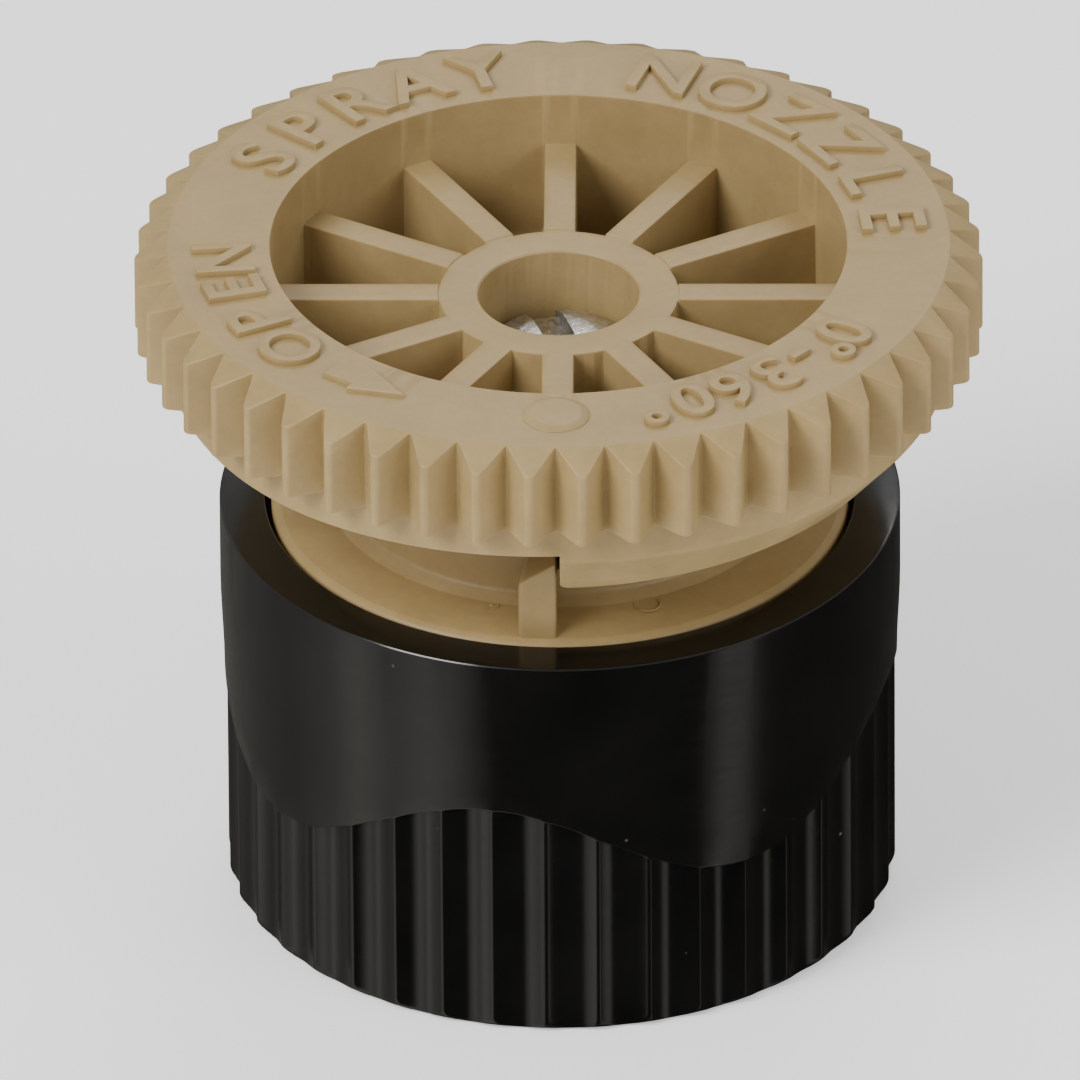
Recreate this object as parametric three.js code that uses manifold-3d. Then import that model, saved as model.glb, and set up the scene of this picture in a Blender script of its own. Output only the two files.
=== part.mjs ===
// Adjustable-arc spray nozzle with a female thread, for the riser of a pop-up sprinkler.
// Millimetres, +Z up, origin at the centre of the bottom rim, front (the closed end of the arc) towards -Y.
// Angles are in degrees round Z, counted from the front and counter-clockwise seen from above.
import * as THREE from "three";
import { mergeVertices } from "three/addons/utils/BufferGeometryUtils.js";
import Module from "manifold-3d";

const wasm = await Module();
wasm.setup();

// ---- Driving dimensions ----

const FACET = 7.5; // degrees between facets on the large rounds
const SMALL_FACET = 15; // and on the small ones
const LEAD = 2.5; // rise of the arc helix, and of the collar, in one turn
const GAP = 0.15; // running clearance between the collar and what it turns on

// Base: threaded moulding with a fluted grip
const BASE_HEIGHT = 15.6;
const BAND_TOP_RADIUS = 12.36;
const BAND_WAIST_RADIUS = 12.24;
const GRIP_RADIUS = 12.17;
const FLUTES = 40;
const FLUTE_DEPTH = 0.3;
const FLUTE_LAND = 1.4; // degrees
const FLUTE_FLOOR = 5; // degrees
const BAND_EDGE_HEIGHT = 7.8; // mean height of the band's waved lower edge
const BAND_EDGE_WAVE = 1.65;
const BAND_EDGE_WAVES = 4;
const BAND_EDGE_PHASE = 10; // degrees
const THREAD_MAJOR = 7.95;
const THREAD_MINOR = 7.45;
const THREAD_PITCH = 0.907;
const THREAD_TURNS = 8; // rolled past both ends of the threaded stretch, then cut to it
const THREAD_Z = [0.5, 6.9];
const THREAD_WALL = 8.6;
const SHOULDER_Z = [7.9, 8.7];
const SHOULDER_BORE = 6.0;
const BASE_BORE = 8.4;
const LEDGE_Z = 13.2;
const COUNTERBORE = 10.7;
const CORE_POCKET = { inner: 9.5, outer: 10.8, top: 11.8, count: 8, rib: 7 };

// Seat: fixed half of the arc slot, with the orifice, the spider and the guide fins
const SEAT_FLANGE_RADIUS = 10.48;
const SEAT_STEP = -0.3; // degrees: the fixed end of the arc
const LIP_INNER = 7.0;
const LIP_OUTER = 8.0;
const LIP_TOP = 17.2; // at the low end of the helix
const SLEEVE_OUTER = 8.3;
const SLEEVE_INNER = 6.9;
const SLEEVE_BOTTOM = 8.8;
const ORIFICE_RADIUS = 5.0;
const ORIFICE_Z = [11.7, 12.4];
const SPIDER_HUB = { bore: 2.35, outer: 3.5, bottom: 11.9, top: 13.0 };
const WEBS = 3;
const WEB_WIDTH = 1.2;
const FIN_INNER = 5.55;
const EDGE_RIB = { from: -8.2, inner: 7.9, outer: 10.2, foot: 15.4, low: 17.9, high: 18.7 };

// Post: tube through the spider that the collar climbs
const POST_RADIUS = 2.75;
const POST_BORE = 1.55;
const POST_BOTTOM = 10.8;
const POST_TOP = 21.0;
const POST_NECK = 2.3;
const GROOVE = { floor: 2.3, half: 0.4, z: 13.85, from: 90, turn: 432, starts: 2 };
const LUG = { crest: 2.4, half: 0.3, lead_in: 6, turn: 60 };

// Collar: toothed rim, sunk well with spokes, and the helical underside
const COLLAR_TOP = 26.15;
const RIM_BOTTOM = 22.6;
const TEETH = 50;
const TOOTH_TIP = 15.35;
const TOOTH_ROOT = 14.2;
const SKIRT_RADIUS = 14.1;
const TIP_HALF = 0.45; // degrees
const TOP_FLAT_RADIUS = 13.95;
const TOP_CHAMFER = 0.58; // fall per millimetre outwards
const WELL_RADIUS = 10.4;
const WELL_FLOOR = 18.95; // at the low end of the helix
const COLLAR_STEP = 0.5; // degrees: the moving end of the arc, shut against the seat's
const COLLAR_CORE = 6.6;
const CORE_BOTTOM = 13.4;
const LAND_RADIUS = 8.2;
const SKIRT_EDGE = { radius: 12.2, z: 18.98, flare: 0.86 };
const HUB_OUTER = 4.36;
const HUB_BORE = POST_RADIUS + GAP;
const HUB_TOP = 24.05;
const SPOKES = 12;
const SPOKE_WIDTH = 1.16;
const SPOKE_TOP = 24.1;
const MARK = { radius: 1.22, top: 0.7, reach: 12.0, height: 0.22 };

// Seals, flow screw and throttle
const COLLAR_RING = { centre: 3.33, half: 0.5, z: 17.85 };
const RING_GROOVE = 0.1; // clearance round the collar ring in its groove
const SCREW_RING = { centre: 1.86, half: 0.3, z: 20.7 };
const SCREW = { shank: 1.42, bottom: 6.5, head: 2.45, under: 21.08, top: 22.3 };
const SCREW_SLOT = { width: 1.15, depth: 0.75, turn: 17 };
const RETAINER = { bore: 1.45, outer: 2.4, z: [10.2, 10.65] };
const PLUG = { bore: 1.5, hub: 3.85, outer: 5.9, bottom: 6.9, web: 9.0, top: 10.0, recess: 3.05, floor: 8.4 };
const NOTCH = { inner: 5.35, width: 1.5 };
const GASKET = { inner: 6.1, outer: 7.35, z: [7.2, 7.87] };

// ---- Materials ----

const tan = new THREE.MeshStandardMaterial({ color: 0xb09c70, roughness: 0.45, metalness: 0 });
const black = new THREE.MeshStandardMaterial({ color: 0x0c0c0b, roughness: 0.2, metalness: 0 });
const rubber = new THREE.MeshStandardMaterial({ color: 0x111110, roughness: 0.7, metalness: 0 });
const steel = new THREE.MeshStandardMaterial({ color: 0xb9b6ae, roughness: 0.3, metalness: 1 });

// ---- Shape helpers ----

// The point at an angle, radius and height.
function around(angle, r, z) {
  const turn = THREE.MathUtils.degToRad(THREE.MathUtils.euclideanModulo(angle, 360));
  return [r * Math.sin(turn), -r * Math.cos(turn), z];
}

// Both ends of a sweep, and every whole facet between them.
function stations(from, to, facet = FACET) {
  const list = [from];
  for (let i = Math.floor(from / facet + 1e-6) + 1; i * facet < to - 1e-6; i++) list.push(i * facet);
  return [...list, to];
}

function solid(geometry) {
  geometry.deleteAttribute("normal");
  geometry.deleteAttribute("uv");
  const merged = mergeVertices(geometry, 1e-5);
  const vertProperties = merged.attributes.position.array;
  const triVerts = new Uint32Array(merged.index.array);
  return new wasm.Manifold(new wasm.Mesh({ numProp: 3, vertProperties, triVerts }));
}

// Triangles of a section's end face, in the section's own order.
function capTriangles(section) {
  const outline = section.map(([r, z]) => new THREE.Vector2(r, z));
  return THREE.ShapeUtils.triangulateShape(outline, []).map(([a, b, c]) => {
    const area = THREE.ShapeUtils.area([outline[a], outline[b], outline[c]]);
    return area > 0 ? [a, b, c] : [a, c, b];
  });
}

// A solid through sections of [radius, height] points, listed counter-clockwise, that stand at the angles.
// A ring's last section joins its first; otherwise both ends are capped.
function skin(angles, sectionAt, ring = false) {
  const sections = angles.map((angle) => sectionAt(angle));
  const size = sections[0].length;
  const positions = sections.flatMap((section, i) => section.flatMap(([r, z]) => around(angles[i], r, z)));
  const index = [];
  const spans = ring ? angles.length : angles.length - 1;
  for (let i = 0; i < spans; i++) {
    const here = i * size;
    const next = ((i + 1) % angles.length) * size;
    for (let j = 0; j < size; j++) {
      const k = (j + 1) % size;
      index.push(here + j, next + j, next + k, here + j, next + k, here + k);
    }
  }
  if (!ring) {
    const last = (angles.length - 1) * size;
    capTriangles(sections[0]).forEach(([a, b, c]) => index.push(a, b, c));
    capTriangles(sections.at(-1)).forEach(([a, b, c]) => index.push(last + a, last + c, last + b));
  }
  const geometry = new THREE.BufferGeometry();
  geometry.setAttribute("position", new THREE.Float32BufferAttribute(positions, 3));
  geometry.setIndex(index);
  return solid(geometry);
}

// A turned solid from a profile of [radius, height] points, listed counter-clockwise.
function turned(profile, facet = FACET) {
  const points = profile.map(([r, z]) => new THREE.Vector2(r, z));
  if (profile.at(0)[0] > 0) points.push(points[0]);
  return solid(new THREE.LatheGeometry(points, 360 / facet).rotateX(Math.PI / 2));
}

// A box from two corners, turned about Z to an angle: its own X runs outwards from the axis.
function radialBox(angle, inner, outer, width, bottom, top, side = 0) {
  const box = new THREE.BoxGeometry(outer - inner, width, top - bottom);
  box.translate((inner + outer) / 2, side, (bottom + top) / 2);
  return solid(box.rotateZ(THREE.MathUtils.degToRad(angle - 90)));
}

// A ring of round section.
function seal({ centre, half, z }) {
  const ring = new THREE.TorusGeometry(centre, half, 8, 360 / SMALL_FACET);
  return solid(ring.translate(0, 0, z));
}

// A section that climbs with the arc helix for one turn, from the step on.
function helixTurn(step, sectionAt) {
  const at = (angle) => sectionAt(((angle - step) / 360) * LEAD);
  return skin(stations(step, 180), at).add(skin(stations(180, step + 360), at));
}

// A bar along a helix: a section about its own middle line, from a start angle and height.
function helixBar(section, from, turn, z, lead, facet) {
  const climb = (angle) => z + ((angle - from) / 360) * lead;
  return skin(stations(from, from + turn, facet), (a) => section.map(([r, dz]) => [r, climb(a) + dz]));
}

// Mesh of a finished solid.
function piece(name, body, material) {
  const mesh = body.getMesh();
  const geometry = new THREE.BufferGeometry();
  geometry.setAttribute("position", new THREE.BufferAttribute(mesh.vertProperties, 3));
  geometry.setIndex(new THREE.BufferAttribute(mesh.triVerts, 1));
  geometry.computeVertexNormals();
  const part = new THREE.Mesh(geometry, material);
  part.name = name;
  return part;
}

const sum = (solids) => solids.reduce((a, b) => a.add(b));
const copies = (count, make) => Array.from({ length: count }, (_, i) => make((i * 360) / count, i));

// ---- Base ----

// The grip and band outside: flutes run up into the band along a waved edge.
function gripShell() {
  const pitch = 360 / FLUTES;
  const angles = copies(FLUTES, (a) => [a - FLUTE_FLOOR / 2, a + FLUTE_FLOOR / 2]
    .concat([a + (pitch - FLUTE_LAND) / 2, a + (pitch + FLUTE_LAND) / 2])).flat();
  return skin(angles, (angle) => {
    const inFlute = Math.abs(angle - Math.round(angle / pitch) * pitch) <= FLUTE_FLOOR / 2 + 1e-6;
    const grip = inFlute ? GRIP_RADIUS - FLUTE_DEPTH : GRIP_RADIUS;
    const wave = Math.cos(THREE.MathUtils.degToRad(BAND_EDGE_WAVES * (angle + BAND_EDGE_PHASE)));
    const edge = BAND_EDGE_HEIGHT + BAND_EDGE_WAVE * wave;
    const inside = COUNTERBORE + 0.3;
    return [
      [inside, 0],
      [grip, 0],
      [grip, edge - 0.4],
      [BAND_WAIST_RADIUS, edge + 0.1],
      [BAND_TOP_RADIUS, 0.8 * BASE_HEIGHT],
      [BAND_TOP_RADIUS, BASE_HEIGHT],
      [inside, BASE_HEIGHT],
    ];
  }, true);
}

// The threaded stretch of the bore, as a sleeve whose V-shaped turns climb one pitch round the axis.
function threadSleeve() {
  const section = (angle) => {
    const start = THREAD_Z[0] - THREAD_PITCH * (2 - angle / 360);
    const vees = Array.from({ length: THREAD_TURNS + 3 }, (_, i) => start + i * THREAD_PITCH).flatMap((z) => [
      [THREAD_MAJOR, z],
      [THREAD_MINOR, z + THREAD_PITCH / 2],
    ]);
    return [[THREAD_WALL, vees[0][1]], [THREAD_WALL, vees.at(-1)[1]], ...vees.reverse()];
  };
  const half = (from, to) => skin(stations(from, to, SMALL_FACET), section);
  const rolled = half(0, 180).add(half(180, 360));
  const [low, high] = THREAD_Z;
  const inside = THREAD_MINOR - 1;
  return rolled.intersect(turned([[inside, low], [THREAD_WALL + 1, low], [THREAD_WALL + 1, high], [inside, high]]));
}

function corePocket(angle) {
  const { inner, outer, top, count, rib } = CORE_POCKET;
  const span = 360 / count - rib;
  const section = () => [[inner, -1], [outer, -1], [outer, top], [inner, top]];
  return skin(stations(angle + rib / 2, angle + rib / 2 + span), section);
}

function nozzleBase() {
  const wall = COUNTERBORE + 0.6;
  const relief = THREAD_MAJOR + 0.25;
  const inner = turned([
    [8.6, 0],
    [wall, 0],
    [wall, BASE_HEIGHT],
    [COUNTERBORE, BASE_HEIGHT],
    [COUNTERBORE, LEDGE_Z],
    [BASE_BORE, LEDGE_Z],
    [BASE_BORE, SHOULDER_Z[1]],
    [SHOULDER_BORE, SHOULDER_Z[1]],
    [SHOULDER_BORE, SHOULDER_Z[0]],
    [relief, SHOULDER_Z[0]],
    [relief, THREAD_Z[0] - 0.1],
  ]);
  const body = gripShell().add(inner).subtract(sum(copies(CORE_POCKET.count, corePocket)));
  return body.add(threadSleeve());
}

// ---- Seat ----

function edgeRib() {
  const { from, inner, outer, foot, low, high } = EDGE_RIB;
  return skin([from, SEAT_STEP], (angle) => {
    const top = angle === from ? low : high;
    return [[inner, foot], [outer, foot], [outer, top], [inner, top]];
  });
}

function spider() {
  const { bore, outer, bottom, top } = SPIDER_HUB;
  const hub = turned([[bore, bottom], [outer, bottom], [outer, top], [bore, top]], SMALL_FACET);
  const web = (angle) => radialBox(angle + 60, outer - 0.2, LIP_INNER + 0.3, WEB_WIDTH, bottom + 0.05, top - 0.1);
  return sum([hub, ...copies(WEBS, web)]);
}

function guideFins() {
  const fin = (angle) => radialBox(angle, FIN_INNER, SLEEVE_INNER + 0.3, WEB_WIDTH, SLEEVE_BOTTOM, ORIFICE_Z[0] + 0.1);
  return sum(copies(WEBS, fin));
}

function arcSeat() {
  const flangeEdge = SEAT_FLANGE_RADIUS;
  const body = helixTurn(SEAT_STEP, (rise) => [
    [SLEEVE_INNER, SLEEVE_BOTTOM],
    [SLEEVE_OUTER, SLEEVE_BOTTOM],
    [SLEEVE_OUTER, LEDGE_Z + GAP],
    [flangeEdge, LEDGE_Z + GAP],
    [flangeEdge, 15.35],
    [flangeEdge - 0.2, 15.6],
    [LIP_OUTER + 0.3, 15.9],
    [LIP_OUTER, 16.15],
    [LIP_OUTER, LIP_TOP + rise],
    [LIP_INNER, LIP_TOP + rise],
    [LIP_INNER, ORIFICE_Z[1]],
    [ORIFICE_RADIUS, ORIFICE_Z[1]],
    [ORIFICE_RADIUS, ORIFICE_Z[0]],
    [SLEEVE_INNER, ORIFICE_Z[0]],
  ]);
  return sum([body, edgeRib(), spider(), guideFins()]);
}

// ---- Post ----

function centerPost() {
  const recess = SCREW_RING.centre + SCREW_RING.half + 0.09;
  const tube = turned([
    [POST_BORE, POST_BOTTOM],
    [POST_NECK, POST_BOTTOM],
    [POST_RADIUS, POST_BOTTOM + 0.5],
    [POST_RADIUS, SPIDER_HUB.bottom - 0.1],
    [POST_NECK, SPIDER_HUB.bottom - 0.1],
    [POST_NECK, SPIDER_HUB.top + 0.05],
    [POST_RADIUS, SPIDER_HUB.top + 0.05],
    [POST_RADIUS, POST_TOP],
    [recess, POST_TOP],
    [recess, POST_TOP - 0.65],
    [POST_BORE, POST_TOP - 0.65],
  ], SMALL_FACET);
  const { floor, half, z, from, turn, starts } = GROOVE;
  const section = [[floor, -half], [POST_RADIUS + 0.3, -half], [POST_RADIUS + 0.3, half], [floor, half]];
  const grooves = copies(starts, (a) => helixBar(section, from + a, turn, z, LEAD, SMALL_FACET));
  return tube.subtract(sum(grooves));
}

// ---- Collar ----

function rimTeeth() {
  const pitch = 360 / TEETH;
  const angles = copies(TEETH, (a) => [a, a + pitch / 2 - TIP_HALF, a + pitch / 2 + TIP_HALF]).flat();
  const inside = WELL_RADIUS - 1;
  return skin(angles, (angle) => {
    const root = Math.abs(angle / pitch - Math.round(angle / pitch)) < 1e-6;
    const r = root ? TOOTH_ROOT : TOOTH_TIP;
    return [
      [inside, RIM_BOTTOM],
      [r, RIM_BOTTOM],
      [r, COLLAR_TOP - (r - TOP_FLAT_RADIUS) * TOP_CHAMFER],
      [TOP_FLAT_RADIUS, COLLAR_TOP],
      [inside, COLLAR_TOP],
    ];
  }, true);
}

// Core, underside and flared skirt, which climb with the arc.
function collarBody() {
  const { radius, z, flare } = SKIRT_EDGE;
  const coneTop = z + (SKIRT_RADIUS - radius) / flare;
  const joinZ = RIM_BOTTOM + 0.1;
  const land = LIP_TOP + GAP;
  return helixTurn(COLLAR_STEP, (rise) => [
    [HUB_BORE - 1, CORE_BOTTOM],
    [COLLAR_CORE, CORE_BOTTOM],
    [COLLAR_CORE, land + rise],
    [LAND_RADIUS, land + rise],
    [Math.min(radius + flare * rise, SKIRT_RADIUS - 0.01), z + rise],
    [SKIRT_RADIUS, Math.max(coneTop, z + rise + 0.01)],
    [SKIRT_RADIUS, joinZ],
    [HUB_BORE - 1, joinZ],
  ]);
}

function well() {
  const above = COLLAR_TOP + 1;
  const inner = HUB_OUTER - 0.5;
  return helixTurn(COLLAR_STEP, (rise) => [
    [inner, WELL_FLOOR + rise],
    [WELL_RADIUS, WELL_FLOOR + rise],
    [WELL_RADIUS, above],
    [inner, above],
  ]);
}

// The bore right through the hub, with the groove for its seal.
function collarBore() {
  const { centre, half, z } = COLLAR_RING;
  const grooveOuter = centre + half + RING_GROOVE;
  return turned([
    [0, CORE_BOTTOM - 1],
    [HUB_BORE, CORE_BOTTOM - 1],
    [HUB_BORE, z - half - RING_GROOVE],
    [grooveOuter, z - half - RING_GROOVE],
    [grooveOuter, z + half + RING_GROOVE],
    [HUB_BORE, z + half + RING_GROOVE],
    [HUB_BORE, COLLAR_TOP],
    [0, COLLAR_TOP],
  ]);
}

// A spoke reaches down into the climbing floor. The front one stands over the step, so its low side is a half.
function spoke(angle) {
  const bury = 0.35;
  const floorAt = (a) => WELL_FLOOR + ((a - COLLAR_STEP) / 360) * LEAD - bury;
  const inner = HUB_OUTER - 0.3;
  const outer = WELL_RADIUS + 0.3;
  if (angle > 0) return radialBox(angle, inner, outer, SPOKE_WIDTH, floorAt(angle), SPOKE_TOP);
  const half = SPOKE_WIDTH / 2 - 0.1;
  const low = radialBox(0, inner, outer, half, floorAt(COLLAR_STEP), SPOKE_TOP, 0.1 + half / 2);
  return low.add(radialBox(0, inner, outer, SPOKE_WIDTH, floorAt(360) - 0.4, SPOKE_TOP));
}

function collarLugs() {
  const { crest, half, lead_in, turn } = LUG;
  const bury = HUB_BORE + 0.2;
  const section = [[crest, -half], [bury, -half], [bury, half], [crest, half]];
  const z = GROOVE.z + (lead_in / 360) * LEAD;
  return sum(copies(GROOVE.starts, (a) => {
    return helixBar(section, GROOVE.from + lead_in + a, turn, z, LEAD, SMALL_FACET);
  }));
}

// Raised dot on the rim over the moving end of the arc.
function arcMark() {
  const { radius, top, reach, height } = MARK;
  const bury = 0.2;
  const dot = turned([[0, -bury], [radius, -bury], [radius, 0], [top, height], [0, height]], 2 * SMALL_FACET);
  return dot.translate(around(0, reach, COLLAR_TOP));
}

function arcCollar() {
  const hubFoot = RIM_BOTTOM - 0.5;
  const hub = turned([[HUB_BORE - 1, hubFoot], [HUB_OUTER, hubFoot], [HUB_OUTER, HUB_TOP], [HUB_BORE - 1, HUB_TOP]]);
  const dished = rimTeeth().add(collarBody()).subtract(well());
  const spoked = sum([dished, hub, ...copies(SPOKES, spoke)]);
  return sum([spoked.subtract(collarBore()), collarLugs(), arcMark()]);
}

// ---- Screw, throttle and seals ----

function flowScrew() {
  const { shank, bottom, head, under, top } = SCREW;
  const body = turned([
    [0, bottom],
    [shank - 0.3, bottom],
    [shank, bottom + 0.3],
    [shank, under],
    [head, under],
    [head, top - 0.3],
    [head - 0.3, top],
    [0, top],
  ], SMALL_FACET);
  const slot = new THREE.BoxGeometry(SCREW_SLOT.width, 3 * head, 2 * SCREW_SLOT.depth);
  slot.rotateZ(THREE.MathUtils.degToRad(SCREW_SLOT.turn)).translate(0, 0, top);
  return body.subtract(solid(slot));
}

function washer(inner, outer, [bottom, top], facet) {
  return turned([[inner, bottom], [outer, bottom], [outer, top], [inner, top]], facet);
}

function throttlePlug() {
  const { bore, hub, outer, bottom, web, top, recess, floor } = PLUG;
  const body = turned([
    [bore, bottom],
    [hub, bottom],
    [hub, web],
    [outer, web],
    [outer, top],
    [recess, top],
    [recess, floor],
    [bore, floor],
  ], SMALL_FACET);
  const notch = (angle) => radialBox(angle, NOTCH.inner, outer + 1, NOTCH.width, web - 1, top + 1);
  return body.subtract(sum(copies(WEBS, notch)));
}

// ---- Assembly ----

const nozzle = new THREE.Group();
nozzle.add(
  piece("nozzle_base", nozzleBase(), black),
  piece("riser_gasket", washer(GASKET.inner, GASKET.outer, GASKET.z, FACET), rubber),
  piece("arc_seat", arcSeat(), tan),
  piece("center_post", centerPost(), tan),
  piece("arc_collar", arcCollar(), tan),
  piece("collar_o_ring", seal(COLLAR_RING), rubber),
  piece("flow_screw", flowScrew(), steel),
  piece("screw_o_ring", seal(SCREW_RING), rubber),
  piece("screw_retainer", washer(RETAINER.bore, RETAINER.outer, RETAINER.z, SMALL_FACET), steel),
  piece("throttle_plug", throttlePlug(), black),
);

export default nozzle;
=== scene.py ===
"""Looks of the adjustable-arc spray nozzle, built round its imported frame.

Sizes are in millimetres, and every mesh is scaled to metres when it is made. Angles are in degrees round Z,
counted from the front, -Y, and counter-clockwise seen from above.
"""
import math

import bmesh
import bpy
from mathutils import Matrix, Vector


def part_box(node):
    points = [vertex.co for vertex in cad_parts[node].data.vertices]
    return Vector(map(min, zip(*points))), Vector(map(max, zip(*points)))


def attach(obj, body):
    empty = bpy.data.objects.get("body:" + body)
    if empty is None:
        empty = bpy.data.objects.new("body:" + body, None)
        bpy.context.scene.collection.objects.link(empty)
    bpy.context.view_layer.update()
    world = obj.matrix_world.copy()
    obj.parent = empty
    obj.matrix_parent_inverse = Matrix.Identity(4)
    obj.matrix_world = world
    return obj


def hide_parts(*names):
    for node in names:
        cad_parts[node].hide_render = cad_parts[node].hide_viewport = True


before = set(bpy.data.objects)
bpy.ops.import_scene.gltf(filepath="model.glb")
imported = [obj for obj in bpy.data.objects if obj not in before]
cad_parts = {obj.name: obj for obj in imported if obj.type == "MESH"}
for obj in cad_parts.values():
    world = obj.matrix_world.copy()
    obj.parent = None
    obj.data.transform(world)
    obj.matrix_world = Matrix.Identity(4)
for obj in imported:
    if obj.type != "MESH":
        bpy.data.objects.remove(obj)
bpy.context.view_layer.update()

MM = 0.001


def node_box(node):
    """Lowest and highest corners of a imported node, in millimetres."""
    low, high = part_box(node)
    return low / MM, high / MM


# ---- Sizes read from the frame, and the fine sizes that it leaves out ----

BASE_HIGH = node_box("nozzle_base")[1]
SEAT_LOW, SEAT_HIGH = node_box("arc_seat")
COLLAR_LOW, COLLAR_HIGH = node_box("arc_collar")
POST_LOW, POST_HIGH = node_box("center_post")
SCREW_LOW, SCREW_HIGH = node_box("flow_screw")
RETAINER_LOW, RETAINER_HIGH = node_box("screw_retainer")
PLUG_LOW, PLUG_HIGH = node_box("throttle_plug")
GASKET_LOW, GASKET_HIGH = node_box("riser_gasket")

LEAD = 2.5  # rise of the arc helix in one turn
EDGE = 0.08  # rounding of a moulded edge
FILLET = 0.3  # rounding at the foot of a moulded wall

# Base
BASE_TOP = BASE_HIGH.z
BAND_TOP_RADIUS = 12.36
BAND_WAIST_RADIUS = 12.24
GRIP_RADIUS = 12.17
FLUTES = 40
FLUTE_DEPTH = 0.3
LAND_HALF = 0.5  # degrees: half the width of a land between two flutes
LAND_CROWN = 0.038  # how far a land is crowned
WAVE = {"mean": 7.7, "height": 1.62, "waves": 4, "phase": 11.5}
FLUTE_PHASE = 2.2  # degrees
FOOT_ROUND = 0.55  # rounding at the foot, where the lands and flutes end
FOOT_SEAM = 10.95  # radius of the seam between the outer and inner faces of the base
RUN_OUT = 0.14  # height of the rounded edge where the band overhangs the flutes
THREAD = {"major": 7.95, "minor": 7.45, "pitch": 0.907, "low": 0.5, "high": 6.9, "relief": 8.2}
THREAD_ROWS = 12  # rows of points to a pitch
SHOULDER = {"low": 7.9, "high": 8.7, "bore": 6.0}
BASE_BORE = 8.4
LEDGE_Z = 13.2
COUNTERBORE = 10.7
POCKET = {"inner": 9.5, "outer": 10.8, "top": 11.8, "count": 8, "rib": 7}

# Seat
SEAT_STEP = -0.3  # degrees: the fixed end of the arc
FLANGE_RADIUS = SEAT_HIGH.x
FLANGE_BOTTOM = 13.35
LIP = {"inner": 7.0, "outer": 8.0, "top": 17.2}
SLEEVE = {"inner": 6.9, "outer": 8.3, "bottom": SEAT_LOW.z}
ORIFICE = {"radius": 5.0, "bottom": 11.7, "top": 12.4}
HUB_RING = {"bore": 2.35, "outer": 3.5, "bottom": 11.9, "top": 13.0}
WEBS = 3
WEB_WIDTH = 1.2
FIN_INNER = 5.55
RIB = {"from": -8.2, "inner": 7.9, "outer": 10.2, "foot": 15.4, "low": 17.85, "high": 18.8}

# Collar
COLLAR_TOP = 26.15
RIM_BOTTOM = 22.6
TEETH = 50
TOOTH_TIP = COLLAR_HIGH.x
TOOTH_ROOT = 14.2
TIP_ROUND = 0.26
TOP_FLAT_RADIUS = 14.15
TOP_CHAMFER = 0.5
SKIRT = {"radius": 14.1, "edge": 12.2, "z": 18.98, "flare": 0.86, "corner": 0.35}
COLLAR_STEP = 0.5  # degrees: the moving end of the arc, shut against the seat's
CORE_RADIUS = 6.6
CORE_BOTTOM = COLLAR_LOW.z
LAND = {"radius": 8.2, "z": 17.35}
WELL_RADIUS = 10.4
WELL_FLOOR = 18.95
DRAFT = 0.03
HUB_RADIUS = 4.36
HUB_TOP = 24.05
HUB_BORE = 2.9
SPOKES = 12
SPOKE_HALF = 0.58
SPOKE_TOP = 24.1
RING_GROOVE = {"outer": 3.93, "low": 17.25, "high": 18.45}
LUG = {"crest": 2.4, "half": 0.3, "from": 96, "turn": 60, "z": 13.892}

# Post, screw and small pieces
POST = {"radius": 2.75, "bore": 1.55, "neck": 2.3, "recess": 2.25, "recess_z": 20.35}
SNAP = {"low": 11.8, "high": 13.05}
GROOVE = {"floor": 2.3, "half": 0.4, "z": 13.85, "from": 90, "turn": 432, "starts": 2}
SCREW = {"shank": 1.42, "root": 1.12, "pitch": 0.79, "thread_top": 12.5, "head": 2.45, "under": 21.08}
SLOT = {"width": 1.15, "depth": 0.75, "turn": 17}
PLUG = {"bore": 1.45, "hub": 3.85, "web": 9.0, "recess": 3.05, "floor": 8.4}
NOTCH = {"inner": 5.35, "width": 1.5}
COLLAR_RING = {"centre": 3.33, "half": 0.5, "z": 17.85}
SCREW_RING = {"centre": 1.86, "half": 0.3, "z": 20.7}
RETAINER_BORE = 1.45
GASKET_BORE = 6.1

# Raised marks on the rim
MARK_HEIGHT = 0.2
MARK_SUNK = 0.06  # how deep a mark reaches into the rim
MARK_REACH = 12.0
ARROW_ANGLE = -35.4
LETTER_REACH = 12.2
LETTER_WEIGHT = 0.02
CAP_HEIGHT = 2.1
TALL_CAP_HEIGHT = 1.1 * CAP_HEIGHT
FONT_CAP = 0.7  # height of a capital as a share of the font's size


# ---- Mesh helpers ----

def around(angle, r, z):
    """The point at an angle, radius and height."""
    turn = math.radians(angle)
    return (r * math.sin(turn), -r * math.cos(turn), z)


def spread(low, high, count):
    """count + 1 even values from low to high."""
    return [low + (high - low) * i / count for i in range(count + 1)]


def mix(a, b, share):
    """The value at a share of the way from a to b."""
    return a + (b - a) * share


def ease(t):
    """A smooth step from 0 to 1."""
    t = min(max(t, 0.0), 1.0)
    return t * t * (3 - 2 * t)


def rounded(corners, closed=False, steps=3):
    """A section's outline. Each corner is a radius, a height and, where it is rounded, the rounding."""
    points = []
    count = len(corners)
    for i, (r, z, *fillet) in enumerate(corners):
        here = Vector((r, z))
        inside = closed or 0 < i < count - 1
        before = Vector(corners[i - 1][:2]) - here
        after = Vector(corners[(i + 1) % count][:2]) - here
        if not fillet or not inside:
            points.append((r, z))
            continue
        room = 0.45 * min(before.length, after.length)
        reach = 0.0
        if room > 0:
            reach = min(fillet[0] / math.tan(before.angle(after) / 2), room)
        start = here + before.normalized() * reach
        end = here + after.normalized() * reach
        for k in range(steps + 1):
            t = k / steps
            points.append(tuple(start * (1 - t) ** 2 + here * 2 * t * (1 - t) + end * t * t))
    return points


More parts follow.
